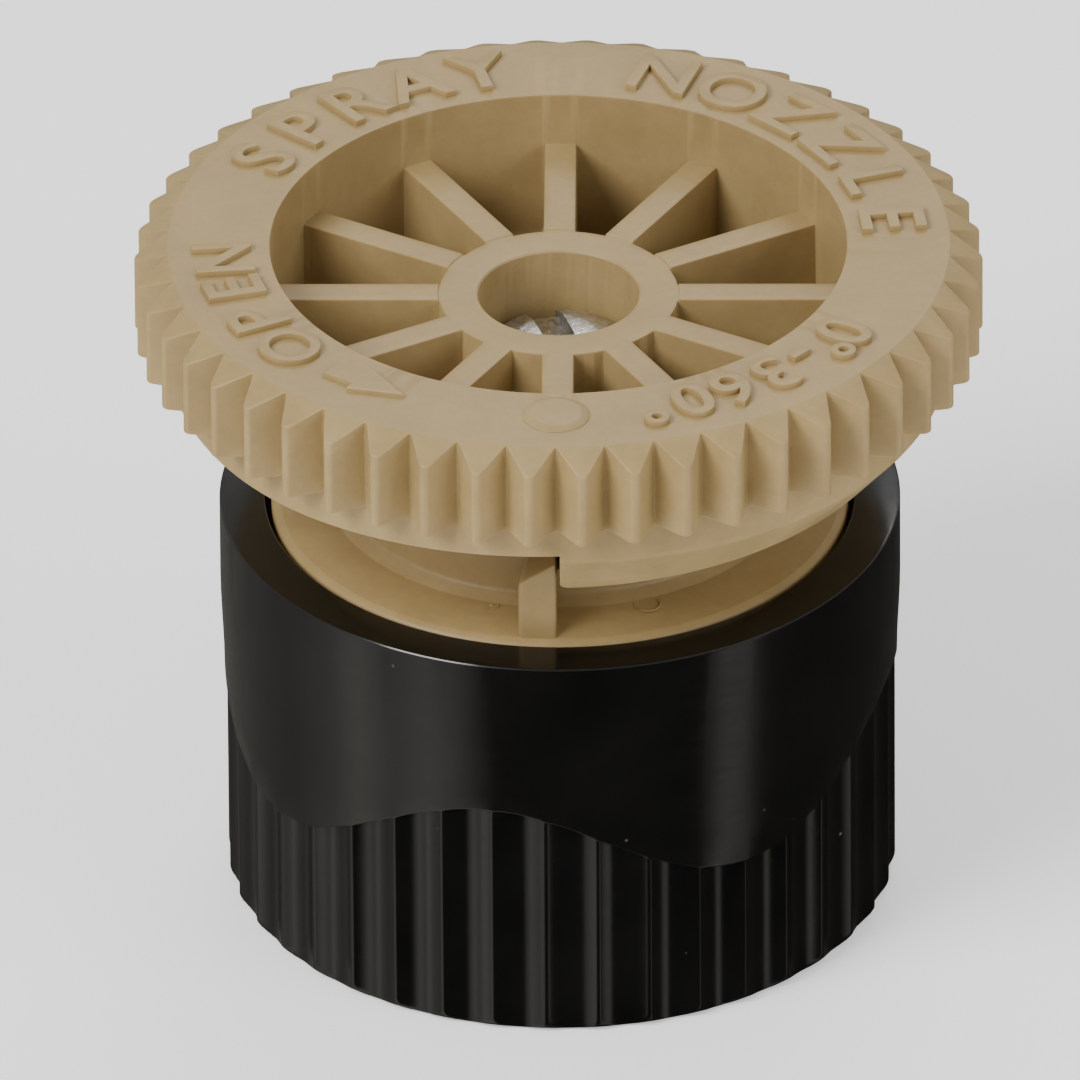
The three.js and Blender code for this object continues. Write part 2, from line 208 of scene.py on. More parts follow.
class Loft:
    """Rings of points round Z, joined into faces.

    A ring's points run counter-clockwise seen from above, and the rings follow the section counter-clockwise.
    So the faces point out.
    """

    def __init__(self):
        self.points = []
        self.angles = []
        self.faces = []

    def ring(self, places):
        """A ring from (angle, radius, height) places."""
        first = len(self.points)
        for angle, r, z in places:
            self.points.append(around(angle, r, z))
            self.angles.append(angle)
        return list(range(first, len(self.points)))

    def rows(self, angles, outline_at):
        """One ring for each point of an outline that depends on the angle."""
        outlines = [outline_at(angle) for angle in angles]
        rings = []
        for j in range(len(outlines[0])):
            rings.append(self.ring([(a, *outline[j]) for a, outline in zip(angles, outlines)]))
        return rings

    def band(self, a, b):
        """Faces between two rings with the same number of points."""
        for i in range(len(a)):
            k = (i + 1) % len(a)
            self.faces.append((a[i], a[k], b[k], b[i]))

    def bands(self, rings):
        for a, b in zip(rings, rings[1:]):
            self.band(a, b)

    def zip(self, a, b):
        """Faces between two rings with different numbers of points, matched by angle."""
        i = j = 0
        while i < len(a) or j < len(b):
            next_a = self.angles[a[(i + 1) % len(a)]] + 360 * (i + 1 >= len(a))
            next_b = self.angles[b[(j + 1) % len(b)]] + 360 * (j + 1 >= len(b))
            here_a, here_b = a[i % len(a)], b[j % len(b)]
            if j == len(b) or (i < len(a) and next_a <= next_b):
                self.faces.append((here_a, a[(i + 1) % len(a)], here_b))
                i += 1
            else:
                self.faces.append((here_a, b[(j + 1) % len(b)], here_b))
                j += 1

    def object(self, name):
        return mesh_object(name, self.points, self.faces)


def mesh_object(name, points, faces):
    """A closed object from points in millimetres. Points in one place are joined."""
    mesh = bpy.data.meshes.new(name)
    work = bmesh.new()
    verts = [work.verts.new(Vector(p) * MM) for p in points]
    for face in faces:
        try:
            work.faces.new([verts[i] for i in face])
        except ValueError:
            continue
    bmesh.ops.remove_doubles(work, verts=work.verts, dist=0.0005 * MM)
    bmesh.ops.dissolve_degenerate(work, edges=work.edges, dist=0.0002 * MM)
    work.to_mesh(mesh)
    work.free()
    obj = bpy.data.objects.new(name, mesh)
    bpy.context.scene.collection.objects.link(obj)
    return obj


def turned(name, corners, columns=96, steps=3):
    """A turned piece from its closed section."""
    loft = Loft()
    angles = spread(0, 360, columns)[:-1]
    outline = rounded(corners, closed=True, steps=steps)
    rings = loft.rows(angles, lambda angle: outline)
    loft.bands(rings + rings[:1])
    return loft.object(name)


def swept(name, angles, section_at):
    """A bar that follows part of a turn: closed sections at the angles, with both ends capped."""
    loft = Loft()
    rings = loft.rows(angles, section_at)
    count = len(angles)
    for a, b in zip(rings, rings[1:] + rings[:1]):
        for i in range(count - 1):
            loft.faces.append((a[i], a[i + 1], b[i + 1], b[i]))
    loft.faces.append(tuple(ring[0] for ring in rings))
    loft.faces.append(tuple(ring[-1] for ring in reversed(rings)))
    return loft.object(name)


def block(name, angle, inner, outer, width, bottom, top):
    """A box that runs outwards from the axis at an angle."""
    half = width / 2
    points = [(x, y, z) for z in (bottom, top) for x, y in
              ((-half, -outer), (half, -outer), (half, -inner), (-half, -inner))]
    faces = [(3, 2, 1, 0), (4, 5, 6, 7), (0, 1, 5, 4), (1, 2, 6, 5), (2, 3, 7, 6), (3, 0, 4, 7)]
    obj = mesh_object(name, points, faces)
    obj.data.transform(Matrix.Rotation(math.radians(angle), 4, "Z"))
    return obj


def carve(obj, tools, operation):
    """Joins the tools to an object, or cuts them from it, and removes them."""
    for tool in tools:
        change = obj.modifiers.new("carve", "BOOLEAN")
        change.operation = operation
        change.solver = "MANIFOLD"
        change.object = tool
    depsgraph = bpy.context.evaluated_depsgraph_get()
    result = bpy.data.meshes.new_from_object(obj.evaluated_get(depsgraph))
    obj.modifiers.clear()
    obj.data = result
    for tool in tools:
        bpy.data.objects.remove(tool)
    return obj


def finished(obj, body, slot, material, *nodes, sharp=32):
    """Smooth faces with sharp edges kept, a material, and the body that the piece rides on."""
    mesh = obj.data
    mesh.materials.clear()
    mesh.materials.append(material)
    mesh.shade_smooth()
    mesh.set_sharp_from_angle(angle=math.radians(sharp))
    weighted = obj.modifiers.new("weighted", "WEIGHTED_NORMAL")
    weighted.keep_sharp = True
    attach(obj, body)
    if nodes:
        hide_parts(*nodes)
    return obj


# ---- Materials ----

def node_material(name):
    """A material with its shader, and a function that adds nodes and links their inputs."""
    material = bpy.data.materials.new(name)
    material.use_nodes = True
    tree = material.node_tree
    shader = tree.nodes["Principled BSDF"]

    def add(kind, values=(), **links):
        node = tree.nodes.new(kind)
        for key, value in dict(values).items():
            if key in node.inputs:
                node.inputs[key].default_value = value
            else:
                setattr(node, key, value)
        for key, source in links.items():
            tree.links.new(source, node.inputs[key.replace("_", " ")])
        return node

    return material, shader, add, tree.links.new


def ramp(add, source, stops):
    """A colour ramp from (place, grey or colour) stops."""
    node = add("ShaderNodeValToRGB", Fac=source)
    elements = node.color_ramp.elements
    while len(elements) < len(stops):
        elements.new(0.5)
    for element, (place, value) in zip(elements, stops):
        element.position = place
        element.color = (value, value, value, 1) if isinstance(value, float) else (*value, 1)
    return node.outputs["Color"]


def bumps(add, link, shader, layers):
    """Bump layers, each a height, a strength and a depth in metres."""
    normal = None
    for height, strength, distance in layers:
        node = add("ShaderNodeBump", {"Strength": strength, "Distance": distance}, Height=height)
        if normal:
            link(normal, node.inputs["Normal"])
        normal = node.outputs["Normal"]
    link(normal, shader.inputs["Normal"])


BLACK_TONES = [(0.35, (0.0025, 0.0025, 0.0023)), (0.7, (0.0045, 0.0044, 0.0041))]
DUST_COLOUR = (0.07, 0.068, 0.064, 1)


def tan_acetal():
    """Moulded tan acetal: faint mottling and grain, with a soft satin sheen."""
    material, shader, add, link = node_material("tan_acetal")
    place = add("ShaderNodeTexCoord").outputs["Object"]
    cloud = add("ShaderNodeTexNoise", {"Scale": 330.0, "Detail": 5.0, "Roughness": 0.6}, Vector=place)
    grain = add("ShaderNodeTexNoise", {"Scale": 2600.0, "Detail": 3.0, "Roughness": 0.65}, Vector=place)
    speck = add("ShaderNodeTexVoronoi", {"Scale": 900.0}, Vector=place)
    tone = ramp(add, cloud.outputs["Fac"], [(0.3, (0.315, 0.22, 0.09)), (0.7, (0.375, 0.265, 0.115))])
    fine = ramp(add, grain.outputs["Fac"], [(0.35, 0.93), (0.65, 1.0)])
    colour = add("ShaderNodeMix", {"data_type": "RGBA", "blend_type": "MULTIPLY", "Factor": 1.0})
    link(tone, colour.inputs[6])
    link(fine, colour.inputs[7])
    link(colour.outputs[2], shader.inputs["Base Color"])
    link(ramp(add, cloud.outputs["Fac"], [(0.3, 0.42), (0.7, 0.54)]), shader.inputs["Roughness"])
    pits = ramp(add, speck.outputs["Distance"], [(0.0, 0.0), (0.12, 1.0)])
    bumps(add, link, shader, [
        (cloud.outputs["Fac"], 0.35, 0.00006),
        (grain.outputs["Fac"], 0.3, 0.00002),
        (pits, 0.15, 0.00001),
    ])
    shader.inputs["Subsurface Weight"].default_value = 0.12
    shader.inputs["Subsurface Radius"].default_value = (1.0, 0.6, 0.3)
    shader.inputs["Subsurface Scale"].default_value = 0.0006
    shader.inputs["IOR"].default_value = 1.48
    return material


def black_plastic(name, roughness, scratch_strength):
    """Moulded black plastic with fine rub marks and a few specks of dust."""
    material, shader, add, link = node_material(name)
    place = add("ShaderNodeTexCoord").outputs["Object"]
    cloud = add("ShaderNodeTexNoise", {"Scale": 260.0, "Detail": 4.0}, Vector=place)
    stretch = add("ShaderNodeMapping", Vector=place)
    stretch.inputs["Scale"].default_value = (1.0, 1.0, 6.0)
    rub = add("ShaderNodeTexNoise", {"Scale": 900.0, "Detail": 6.0, "Roughness": 0.7},
              Vector=stretch.outputs["Vector"])
    tone = ramp(add, cloud.outputs["Fac"], BLACK_TONES)
    specks = add("ShaderNodeTexVoronoi", {"Scale": 750.0, "Randomness": 1.0}, Vector=place)
    patches = add("ShaderNodeTexNoise", {"Scale": 120.0, "Detail": 2.0}, Vector=place)
    near = ramp(add, specks.outputs["Distance"], [(0.03, 1.0), (0.06, 0.0)])
    where = ramp(add, patches.outputs["Fac"], [(0.52, 0.0), (0.62, 1.0)])
    dust = add("ShaderNodeMix", {"data_type": "RGBA", "blend_type": "MULTIPLY", "Factor": 1.0})
    link(near, dust.inputs[6])
    link(where, dust.inputs[7])
    dusty = add("ShaderNodeMix", {"data_type": "RGBA"}, Factor=dust.outputs[2])
    link(tone, dusty.inputs[6])
    dusty.inputs[7].default_value = DUST_COLOUR
    link(dusty.outputs[2], shader.inputs["Base Color"])
    rough = ramp(add, rub.outputs["Fac"], [(0.35, roughness), (0.75, roughness + 0.12)])
    link(rough, shader.inputs["Roughness"])
    bumps(add, link, shader, [
        (cloud.outputs["Fac"], 0.25, 0.00005),
        (rub.outputs["Fac"], scratch_strength, 0.00001),
    ])
    shader.inputs["IOR"].default_value = 1.5
    return material


def stainless():
    """Turned stainless steel, scuffed by tools."""
    material, shader, add, link = node_material("scuffed_stainless")
    place = add("ShaderNodeTexCoord").outputs["Object"]
    scuff = add("ShaderNodeTexNoise", {"Scale": 2400.0, "Detail": 6.0, "Roughness": 0.75, "Distortion": 1.5},
                Vector=place)
    stain = add("ShaderNodeTexNoise", {"Scale": 700.0, "Detail": 3.0}, Vector=place)
    tone = ramp(add, scuff.outputs["Fac"], [(0.4, (0.42, 0.43, 0.44)), (0.6, (0.78, 0.79, 0.8))])
    link(tone, shader.inputs["Base Color"])
    link(ramp(add, stain.outputs["Fac"], [(0.35, 0.22), (0.7, 0.42)]), shader.inputs["Roughness"])
    bumps(add, link, shader, [
        (stain.outputs["Fac"], 0.4, 0.00008),
        (scuff.outputs["Fac"], 0.6, 0.00004),
    ])
    shader.inputs["Metallic"].default_value = 1.0
    return material


def seal_rubber():
    """Matt black moulded rubber."""
    material, shader, add, link = node_material("seal_rubber")
    place = add("ShaderNodeTexCoord").outputs["Object"]
    dust = add("ShaderNodeTexNoise", {"Scale": 1500.0, "Detail": 5.0}, Vector=place)
    link(ramp(add, dust.outputs["Fac"], [(0.4, (0.014, 0.014, 0.014)), (0.75, (0.035, 0.034, 0.032))]),
         shader.inputs["Base Color"])
    link(ramp(add, dust.outputs["Fac"], [(0.3, 0.6), (0.7, 0.8)]), shader.inputs["Roughness"])
    bumps(add, link, shader, [(dust.outputs["Fac"], 0.3, 0.00003)])
    return material


TAN = tan_acetal()
BLACK = black_plastic("gloss_black", 0.13, 0.12)
SATIN_BLACK = black_plastic("satin_black", 0.4, 0.3)
STEEL = stainless()
RUBBER = seal_rubber()


# ---- Base ----

def grip_radius(angle):
    """Outside radius of the fluted grip: shallow hollows between narrow, crowned lands."""
    pitch = 360 / FLUTES
    from_centre = abs((angle - FLUTE_PHASE + pitch / 2) % pitch - pitch / 2)
    half = pitch / 2 - LAND_HALF
    if from_centre > half:
        return GRIP_RADIUS - LAND_CROWN * ((pitch / 2 - from_centre) / LAND_HALF) ** 2
    return GRIP_RADIUS - mix(FLUTE_DEPTH, LAND_CROWN, (from_centre / half) ** 2)


def base_outside(angle):
    """The base's outer face from the seam under its foot, up the flutes and the band, to its top."""
    wave = math.cos(math.radians(WAVE["waves"] * (angle + WAVE["phase"])))
    edge = WAVE["mean"] + WAVE["height"] * wave
    grip = grip_radius(angle)
    under = [(mix(grip, BAND_WAIST_RADIUS, math.sin(t)), edge + RUN_OUT * (1 - math.cos(t)))
             for t in spread(0, math.pi / 2, 6)]
    waist = 0.8 * BASE_TOP
    band = [(mix(BAND_WAIST_RADIUS, BAND_TOP_RADIUS, ease(t)), mix(edge + RUN_OUT, waist, t))
            for t in spread(0, 1, 5)]
    foot = [(FOOT_SEAM, 0)]
    for t in spread(0, math.pi / 2, 8):
        foot.append((min(grip, GRIP_RADIUS - FOOT_ROUND * (1 - math.sin(t))), FOOT_ROUND * (1 - math.cos(t))))
    rim = rounded([
        (BAND_TOP_RADIUS, waist),
        (BAND_TOP_RADIUS, BASE_TOP, 0.12),
        (COUNTERBORE + 0.8, BASE_TOP),
    ])[1:]
    return foot + under + band[1:] + rim


def thread_rows():
    """Heights of the rows of points down the threaded stretch."""
    count = round((THREAD["high"] - THREAD["low"]) / THREAD["pitch"] * THREAD_ROWS)
    return spread(THREAD["high"], THREAD["low"], count)


def thread_radius(angle, z):
    """Radius of the internal thread, which runs out into the relief at both ends."""
    phase = ((z - THREAD["pitch"] * angle / 360) / THREAD["pitch"]) % 1
    depth = min(max(1.25 * abs(2 * phase - 1) - 0.125, 0), 1)
    radius = mix(THREAD["minor"], THREAD["major"], depth)
    from_end = min(z - THREAD["low"], THREAD["high"] - z)
    return mix(THREAD["relief"], radius, ease(from_end / 0.5))


def base_inside(angle):
    """The base's inner face, from its top down to the seam under its foot."""
    s = SHOULDER
    upper = rounded([
        (COUNTERBORE + 0.8, BASE_TOP),
        (COUNTERBORE, BASE_TOP, 0.12),
        (COUNTERBORE, LEDGE_Z, 0.1),
        (BASE_BORE, LEDGE_Z, 0.1),
        (BASE_BORE, s["high"], 0.15),
        (s["bore"], s["high"], 0.1),
        (s["bore"], s["low"], 0.1),
        (THREAD["relief"], s["low"], 0.1),
        (THREAD["relief"], THREAD["high"]),
    ])[:-1]
    thread = [(thread_radius(angle, z), z) for z in thread_rows()]
    foot = rounded([(THREAD["relief"], THREAD["low"]), (THREAD["relief"] + 0.45, 0, 0.1), (FOOT_SEAM, 0)])[1:]
    return upper[1:] + thread + foot[:-1]


def core_pocket(angle):
    """The cutter of one moulding pocket in the base's underside."""
    p = POCKET
    span = 360 / p["count"] - p["rib"]
    low = angle + p["rib"] / 2
    corners = [(p["inner"], -1), (p["outer"], -1), (p["outer"], p["top"], 0.3), (p["inner"], p["top"], 0.3)]
    return swept("core_pocket", spread(low, low + span, 16), lambda a: rounded(corners, closed=True))


def make_base():
    loft = Loft()
    pitch = 360 / FLUTES
    half = pitch / 2 - LAND_HALF
    steps = [half * share for share in (-1, -0.93, -0.65, -0.33, 0, 0.33, 0.65, 0.93, 1)]
    steps += [half + LAND_HALF * share for share in (0.4, 0.8, 1.2, 1.6)]
    outer_angles = [FLUTE_PHASE + (k + 1) * pitch + step for k in range(FLUTES) for step in steps]
    outer = loft.rows(outer_angles, base_outside)
    loft.bands(outer)
    inner = loft.rows(spread(0, 360, 144)[:-1], base_inside)
    loft.bands(inner)
    loft.zip(outer[-1], inner[0])
    loft.zip(inner[-1], outer[0])
    base = loft.object("nozzle_base_shell")
    carve(base, [core_pocket(360 * i / POCKET["count"]) for i in range(POCKET["count"])], "DIFFERENCE")
    return finished(base, "body", "base_black", BLACK, "nozzle_base")


# ---- Seat ----

def helix_angles(step):
    """Columns for one turn of the arc helix, close together next to its step."""
    close = [0, 0.12, 0.3, 0.55, 0.85, 1.2, 1.65]
    return [step + a for a in close + spread(2.4, 360, 298)]


def seat_section(angle):
    """The seat's closed section, whose lip climbs with the helix."""
    rise = LEAD * (angle - SEAT_STEP) / 360
    flange, lip, sleeve, orifice = FLANGE_RADIUS, LIP, SLEEVE, ORIFICE
    return rounded([
        (sleeve["inner"], sleeve["bottom"], 0.1),
        (sleeve["outer"], sleeve["bottom"], 0.2),
        (sleeve["outer"], FLANGE_BOTTOM, 0.1),
        (flange, FLANGE_BOTTOM, 0.1),
        (flange, 15.45, 0.2),
        (flange - 0.3, 15.6, 0.2),
        (lip["outer"] + 0.45, 15.85, 0.2),
        (lip["outer"], 16.2, 0.25),
        (lip["outer"], lip["top"] + rise, EDGE),
        (lip["inner"], lip["top"] + rise, EDGE),
        (lip["inner"], orifice["top"], 0.2),
        (orifice["radius"], orifice["top"], 0.15),
        (orifice["radius"], orifice["bottom"], 0.05),
        (sleeve["inner"], orifice["bottom"], 0.15),
    ], closed=True)


def edge_rib():
    """The rib at the fixed end of the arc. Its top slopes up to the step, and its outer edges are rounded."""
    b = RIB
    start, end = b["from"], SEAT_STEP
    insets = [(start, 0.2), (start + 0.25, 0.08), (start + 0.7, 0.015), (start + 1.2, 0), (end - 0.6, 0),
              (end - 0.2, 0.03), (end, 0.1)]

    def section(angle):
        share = (angle - start) / (end - start)
        top = mix(b["low"], b["high"], share)
        inset = dict(insets)[angle]
        outer = b["outer"] - inset
        return rounded([(b["inner"], b["foot"]), (outer, b["foot"]), (outer, top - inset, 0.12),
                        (b["inner"], top - inset)], closed=True)

    return swept("edge_rib", [angle for angle, inset in insets], section)


def make_seat():
    loft = Loft()
    rings = loft.rows(helix_angles(SEAT_STEP), seat_section)
    loft.bands(rings + rings[:1])
    seat = loft.object("arc_seat_insert")
    h = HUB_RING
    hub = turned("hub_ring", [(h["bore"], h["bottom"], 0.1), (h["outer"], h["bottom"], 0.1),
                              (h["outer"], h["top"], 0.1), (h["bore"], h["top"], 0.1)])
    parts = [edge_rib(), hub]
    for i in range(WEBS):
        angle = 360 * i / WEBS
        parts.append(block("web", angle + 60, h["outer"] - 0.3, LIP["inner"] + 0.3, WEB_WIDTH,
                           h["bottom"] + 0.05, h["top"] - 0.1))
        parts.append(block("fin", angle, FIN_INNER, SLEEVE["inner"] + 0.3, WEB_WIDTH,
                           SLEEVE["bottom"] + 0.05, ORIFICE["bottom"] + 0.1))
    carve(seat, parts, "UNION")
    finished(seat, "body", "tan_plastic", TAN, "arc_seat")
    small_ring("ejector_mark", 21.5, 8.75, 15.81, 0.48, 0.035)
    scuff()


def small_ring(name, angle, reach, z, radius, half):
    """A fine raised ring on the seat's flange."""
    obj = turned(name, [(radius - half, -half, half), (radius + half, -half, half),
                        (radius + half, half, half), (radius - half, half, half)], columns=32)
    obj.data.transform(Matrix.Translation(Vector(around(angle, reach, z)) * MM))
    return finished(obj, "body", "tan_plastic", TAN)


# Each burr's angle, reach, half length and turn.
BURRS = [(-15.2, 8.75, 0.24, 20), (-14.4, 8.55, 0.2, 75), (-16.3, 8.62, 0.17, -35), (-15.0, 8.3, 0.18, 50)]
# A burr's rim: shares of the half length, and offsets to the side in millimetres.
BURR_RIM = [(1, 0), (0.3, 0.035), (-0.5, 0.045), (-1, 0.01), (-0.4, -0.04), (0.5, -0.03)]


def scuff():
    """Burrs that a tool has raised on the seat's flange."""
    points = []
    faces = []
    for angle, reach, length, turn in BURRS:
        spin = Matrix.Rotation(math.radians(turn), 3, "Z")
        centre = Vector(around(angle, reach, 15.84))
        first = len(points)
        points += [tuple(centre + spin @ Vector((x * length, y, -0.06))) for x, y in BURR_RIM]
        points.append(tuple(centre + Vector((0, 0, 0.06))))
        points.append(tuple(centre + Vector((0, 0, -0.07))))
        count = len(BURR_RIM)
        for i in range(count):
            k = (i + 1) % count
            faces.append((first + i, first + k, first + count))
            faces.append((first + k, first + i, first + count + 1))
    obj = mesh_object("flange_scuff", points, faces)
    return finished(obj, "body", "tan_plastic", TAN)


# ---- Post ----

def post_radius(angle, z):
    """Outside of the post, with its two helical grooves."""
    g = GROOVE
    nearest = LEAD
    for start in range(g["starts"]):
        travelled = (angle - g["from"] - 360 * start / g["starts"]) % 360
        while travelled <= g["turn"]:
            nearest = min(nearest, abs(z - g["z"] - LEAD * travelled / 360))
            travelled += 360
    wall = 0.06
    share = 1 - ease((nearest - g["half"] + wall) / wall)
    return mix(POST["radius"], g["floor"], share)


def make_post():
    p = POST
    low = GROOVE["z"] - GROOVE["half"] - 0.1
    high = GROOVE["z"] + LEAD * GROOVE["turn"] / 360 + GROOVE["half"] + 0.1

    def outline(angle):
        foot = rounded([
            (p["bore"], POST_LOW.z + 0.6),
            (p["bore"], POST_LOW.z, 0.08),
            (p["neck"], POST_LOW.z, 0.08),
            (p["radius"], POST_LOW.z + 0.5, 0.1),
            (p["radius"], SNAP["low"], 0.05),
            (p["neck"], SNAP["low"], 0.05),
            (p["neck"], SNAP["high"], 0.05),
            (p["radius"], SNAP["high"], 0.08),
            (p["radius"], low),
        ])
        grooved = [(post_radius(angle, z), z) for z in spread(low, high, 80)][1:]
        head = rounded([
            (p["radius"], high),
            (p["radius"], POST_HIGH.z, 0.15),
            (p["recess"], POST_HIGH.z, 0.08),
            (p["recess"], p["recess_z"], 0.05),
            (p["bore"], p["recess_z"], 0.05),
            (p["bore"], p["recess_z"] - 0.6),
        ])[1:]
        return foot + grooved + head

    loft = Loft()
    rings = loft.rows(spread(0, 360, 96)[:-1], outline)
    loft.bands(rings + rings[:1])
    return finished(loft.object("center_post_tube"), "body", "tan_plastic", TAN, "center_post")


# ---- Collar ----

def under_collar(angle):
    """From the core's foot, along the helical land and skirt edge, to the rim's underside."""
    rise = LEAD * (angle - COLLAR_STEP) / 360
    s = SKIRT
    from_step = s["edge"] * math.radians(angle - COLLAR_STEP)
    short = max(0.0, s["corner"] - from_step)
    lift = rise + s["corner"] - math.sqrt(s["corner"] ** 2 - short ** 2)
    cone_top = s["z"] + (s["radius"] - s["edge"]) / s["flare"]
    edge_radius = min(s["edge"] + s["flare"] * lift, s["radius"] - 0.01)
    edge_z = s["z"] + lift
    return rounded([
        (HUB_BORE + 1.2, CORE_BOTTOM),
        (CORE_RADIUS, CORE_BOTTOM, 0.25),
        (CORE_RADIUS, LAND["z"] + rise, 0.1),
        (LAND["radius"], LAND["z"] + rise, 0.12),
        (edge_radius, edge_z, 0.1),
        (s["radius"], max(cone_top, edge_z + 0.02), 0.5),
        (s["radius"], RIM_BOTTOM),
    ])


def tooth_columns():
    """(angle, radius) places round the toothed rim: straight flanks, rounded tips and sharp valleys."""
    pitch = 360 / TEETH
    places = []
    for k in range(TEETH):
        root = k * pitch
        tip = root + pitch / 2
        places.append((root, TOOTH_ROOT))
        places.append((root + 0.3, TOOTH_ROOT + 0.05))
        for share in (-0.8, -0.4, 0, 0.4, 0.8):
            across = share * TIP_ROUND
            radius = TOOTH_TIP - TIP_ROUND + math.sqrt(TIP_ROUND ** 2 - across ** 2)
            places.append((tip + math.degrees(across / TOOTH_TIP), radius))
        places.append((root + pitch - 0.3, TOOTH_ROOT + 0.05))
    return places


def tooth_outline(radius):
    chamfer_z = COLLAR_TOP - (radius - TOP_FLAT_RADIUS) * TOP_CHAMFER
    return rounded([
        (SKIRT["radius"] + 0.02, RIM_BOTTOM),
        (radius, RIM_BOTTOM, EDGE),
        (radius, chamfer_z, 0.14),
        (TOP_FLAT_RADIUS, COLLAR_TOP, 0.1),
        (TOP_FLAT_RADIUS - 0.5, COLLAR_TOP),
    ])


def wall_steps():
    """(distance from the wall's face, share) of the edge, wall and foot of a moulded wall.

    The share is 0 at the top of the edge, 1 at the top of the wall, 2 at its foot and 3 where the fillet ends.
    """
    diagonal = math.sin(math.radians(45))
    return [
        (-EDGE, 0),
        (-EDGE * (1 - diagonal), 0.5),
        (0, 1),
        (DRAFT, 2),
        (DRAFT + FILLET * (1 - diagonal), 2.5),
        (DRAFT + FILLET, 3),
    ]


def wall_height(share, top, floor):
    """Height on a moulded wall at a share of its way down."""
    diagonal = math.sin(math.radians(45))
    heights = {0: top, 0.5: top - EDGE * (1 - diagonal), 1: top - EDGE, 2: floor + FILLET,
               2.5: floor + FILLET * (1 - diagonal), 3: floor}
    return heights[share]


def well_columns():
    """(spoke, side, offset, share) of each column round the well. A floor column lies between two spokes."""
    floor_steps = 8
    columns = []
    for k in range(SPOKES):
        columns += [(k, 1, 0.0, 0), (k, 1, SPOKE_HALF * 0.5, 0)]
        columns += [(k, 1, SPOKE_HALF + offset, share) for offset, share in wall_steps()]
        columns += [(k, 0, i / floor_steps, 3) for i in range(1, floor_steps)]
        columns += [(k + 1, -1, SPOKE_HALF + offset, share) for offset, share in reversed(wall_steps())]
        columns.append((k + 1, -1, SPOKE_HALF * 0.5, 0))
    return columns


def column_angle(column, radius):
    """Angle of a column of the well at a radius."""
    spoke, side, offset, share = column
    radius = max(radius, HUB_RADIUS)
    pitch = 360 / SPOKES
    if side:
        return spoke * pitch + side * math.degrees(math.asin(offset / radius))
    foot = math.degrees(math.asin((SPOKE_HALF + wall_steps()[-1][0]) / radius))
    return mix(spoke * pitch + foot, (spoke + 1) * pitch - foot, offset)


def well_rows():
    """(radius, kind, share) of each row from the rim's edge in to the hub's bore."""
    rows = [(WELL_RADIUS + DRAFT - offset, "rim", share) for offset, share in wall_steps()[:3]]
    rows += [(WELL_RADIUS - offset + DRAFT, "outer", share) for offset, share in wall_steps()[3:]]
    foot = wall_steps()[-1][0]
    rows += [(r, "floor", 3) for r in spread(WELL_RADIUS - foot + DRAFT, HUB_RADIUS + foot, 12)[1:-1]]
    rows += [(HUB_RADIUS + offset, "hub", share) for offset, share in reversed(wall_steps())]
    return rows


def well_place(column, row):
    """The (angle, radius, height) place where a column of the well meets a row."""
    radius, kind, share = row
    angle = column_angle(column, radius)
    floor = WELL_FLOOR + LEAD * (angle - COLLAR_STEP) / 360
    top = SPOKE_TOP if radius > HUB_RADIUS + 0.5 * DRAFT else HUB_TOP
    if kind == "rim":
        return angle, radius, wall_height(share, COLLAR_TOP, floor)
    if kind == "outer":
        return angle, radius, max(wall_height(column[3], top, floor), wall_height(share, top, floor))
    return angle, radius, wall_height(min(share, column[3]), top, floor)


def hub_bore():
    """From the hub's top, down its bore past the seal's groove, to the core's foot."""
    g = RING_GROOVE
    return rounded([
        (HUB_RADIUS - 0.3, HUB_TOP),
        (HUB_BORE, HUB_TOP, 0.15),
        (HUB_BORE, g["high"], 0.04),
        (g["outer"], g["high"], 0.1),
        (g["outer"], g["low"], 0.1),
        (HUB_BORE, g["low"], 0.04),
        (HUB_BORE, CORE_BOTTOM, 0.15),
        (HUB_BORE + 0.5, CORE_BOTTOM),
    ])


def collar_lug(start):
    """A short stretch of helical thread in the bore, which runs in one of the post's grooves."""
    g = LUG
    angles = spread(g["from"] + start, g["from"] + start + g["turn"], 12)
    inner, outer = g["crest"], HUB_BORE + 0.25

    def section(angle):
        z = g["z"] + LEAD * (angle - angles[0]) / 360
        return rounded([(inner, z - g["half"], 0.08), (outer, z - g["half"]), (outer, z + g["half"]),
                        (inner, z + g["half"], 0.08)], closed=True)

    return swept("collar_lug", angles, section)


def make_collar():
    loft = Loft()
    under = loft.rows(helix_angles(COLLAR_STEP), under_collar)
    loft.bands(under)

    teeth_places = tooth_columns()
    outlines = [tooth_outline(radius) for angle, radius in teeth_places]
    teeth = []
    for j in range(len(outlines[0])):
        teeth.append(loft.ring([(angle, *outline[j]) for (angle, _), outline in zip(teeth_places, outlines)]))
    loft.bands(teeth)
    loft.zip(under[-1], teeth[0])

    columns = well_columns()
    well = [loft.ring([well_place(column, row) for column in columns]) for row in well_rows()]
    hub_angles = [column_angle(column, HUB_RADIUS) for column in columns]
    bore = [loft.ring([(angle, r, z) for angle in hub_angles]) for r, z in hub_bore()]
    loft.bands(well + bore)
    loft.zip(teeth[-1], well[0])
    loft.zip(bore[-1], under[0])

    collar = loft.object("arc_collar_moulding")
    carve(collar, [collar_lug(0), collar_lug(180)], "UNION")
    return finished(collar, "collar", "tan_plastic", TAN, "arc_collar")


# ---- Raised marks on the collar ----

def on_rim(obj, angle, reach):
    """Lays a flat shape on the rim, its top outwards, so that it reads clockwise."""
    place = Matrix.Rotation(math.radians(angle + 180), 4, "Z")
    slide = Matrix.Translation(Vector((0, reach * MM, COLLAR_TOP * MM)))
    obj.data.transform(place @ slide)


